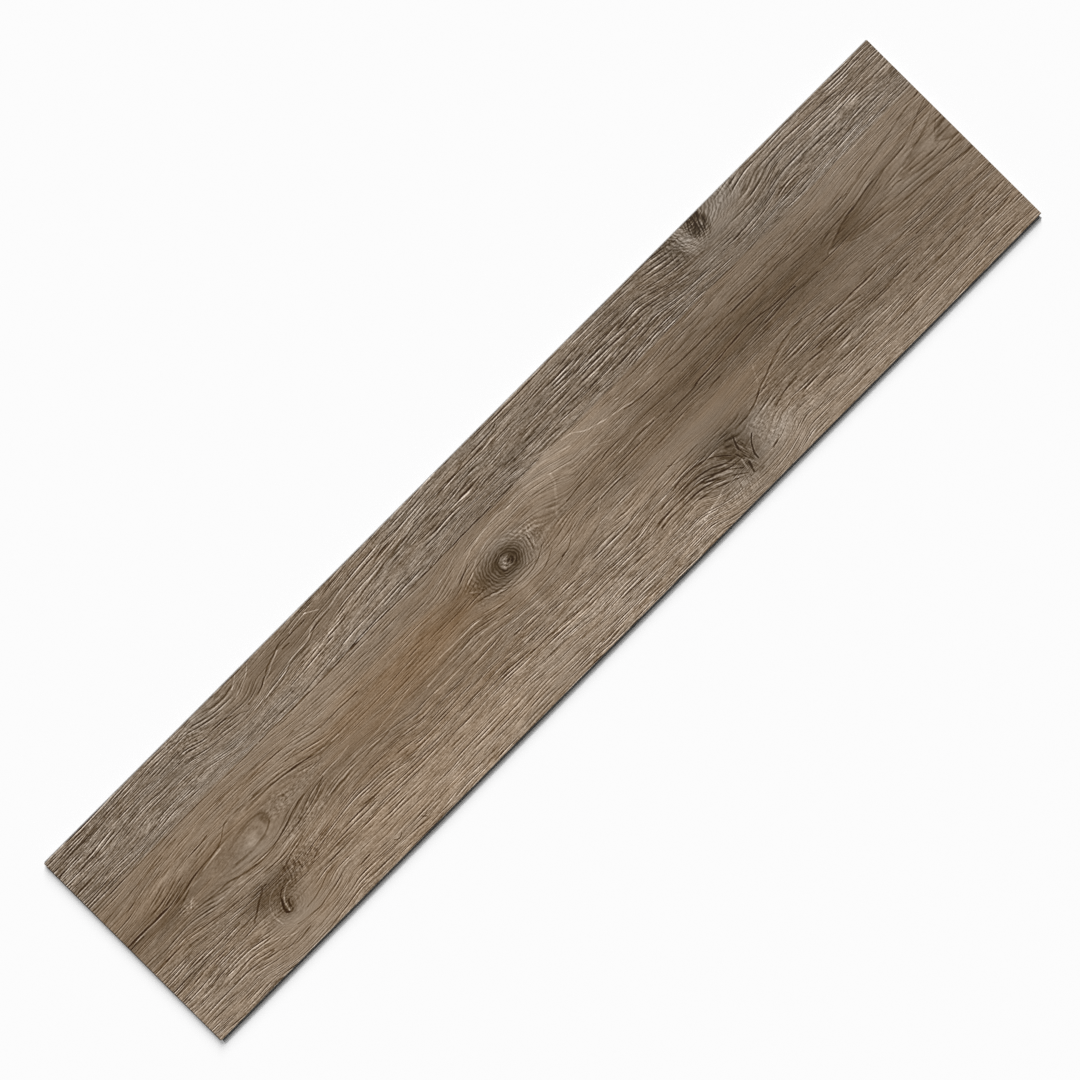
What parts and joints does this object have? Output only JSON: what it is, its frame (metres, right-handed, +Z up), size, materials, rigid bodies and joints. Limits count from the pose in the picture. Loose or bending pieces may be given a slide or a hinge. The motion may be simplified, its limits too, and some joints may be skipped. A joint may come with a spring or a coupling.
{
  "type": "vinyl floor plank",
  "caption": "Rigid vinyl floor plank with a printed oak face, a fine bevel round it, and a milled click lock along both long sides and both ends.",
  "frame": {"origin": "on the underside, in the middle of the rectangle that the plank covers once laid", "axes": "+X along the plank, towards the end with the tongue; +Y across it, towards the long side with the tongue; +Z up, out of the printed face"},
  "size_m": [1.2226, 0.2654, 0.005],
  "materials": {
    "printed_vinyl": "matte"
  },
  "bodies": {
    "root": {"plank": "printed_vinyl"}
  },
  "joints": []
}
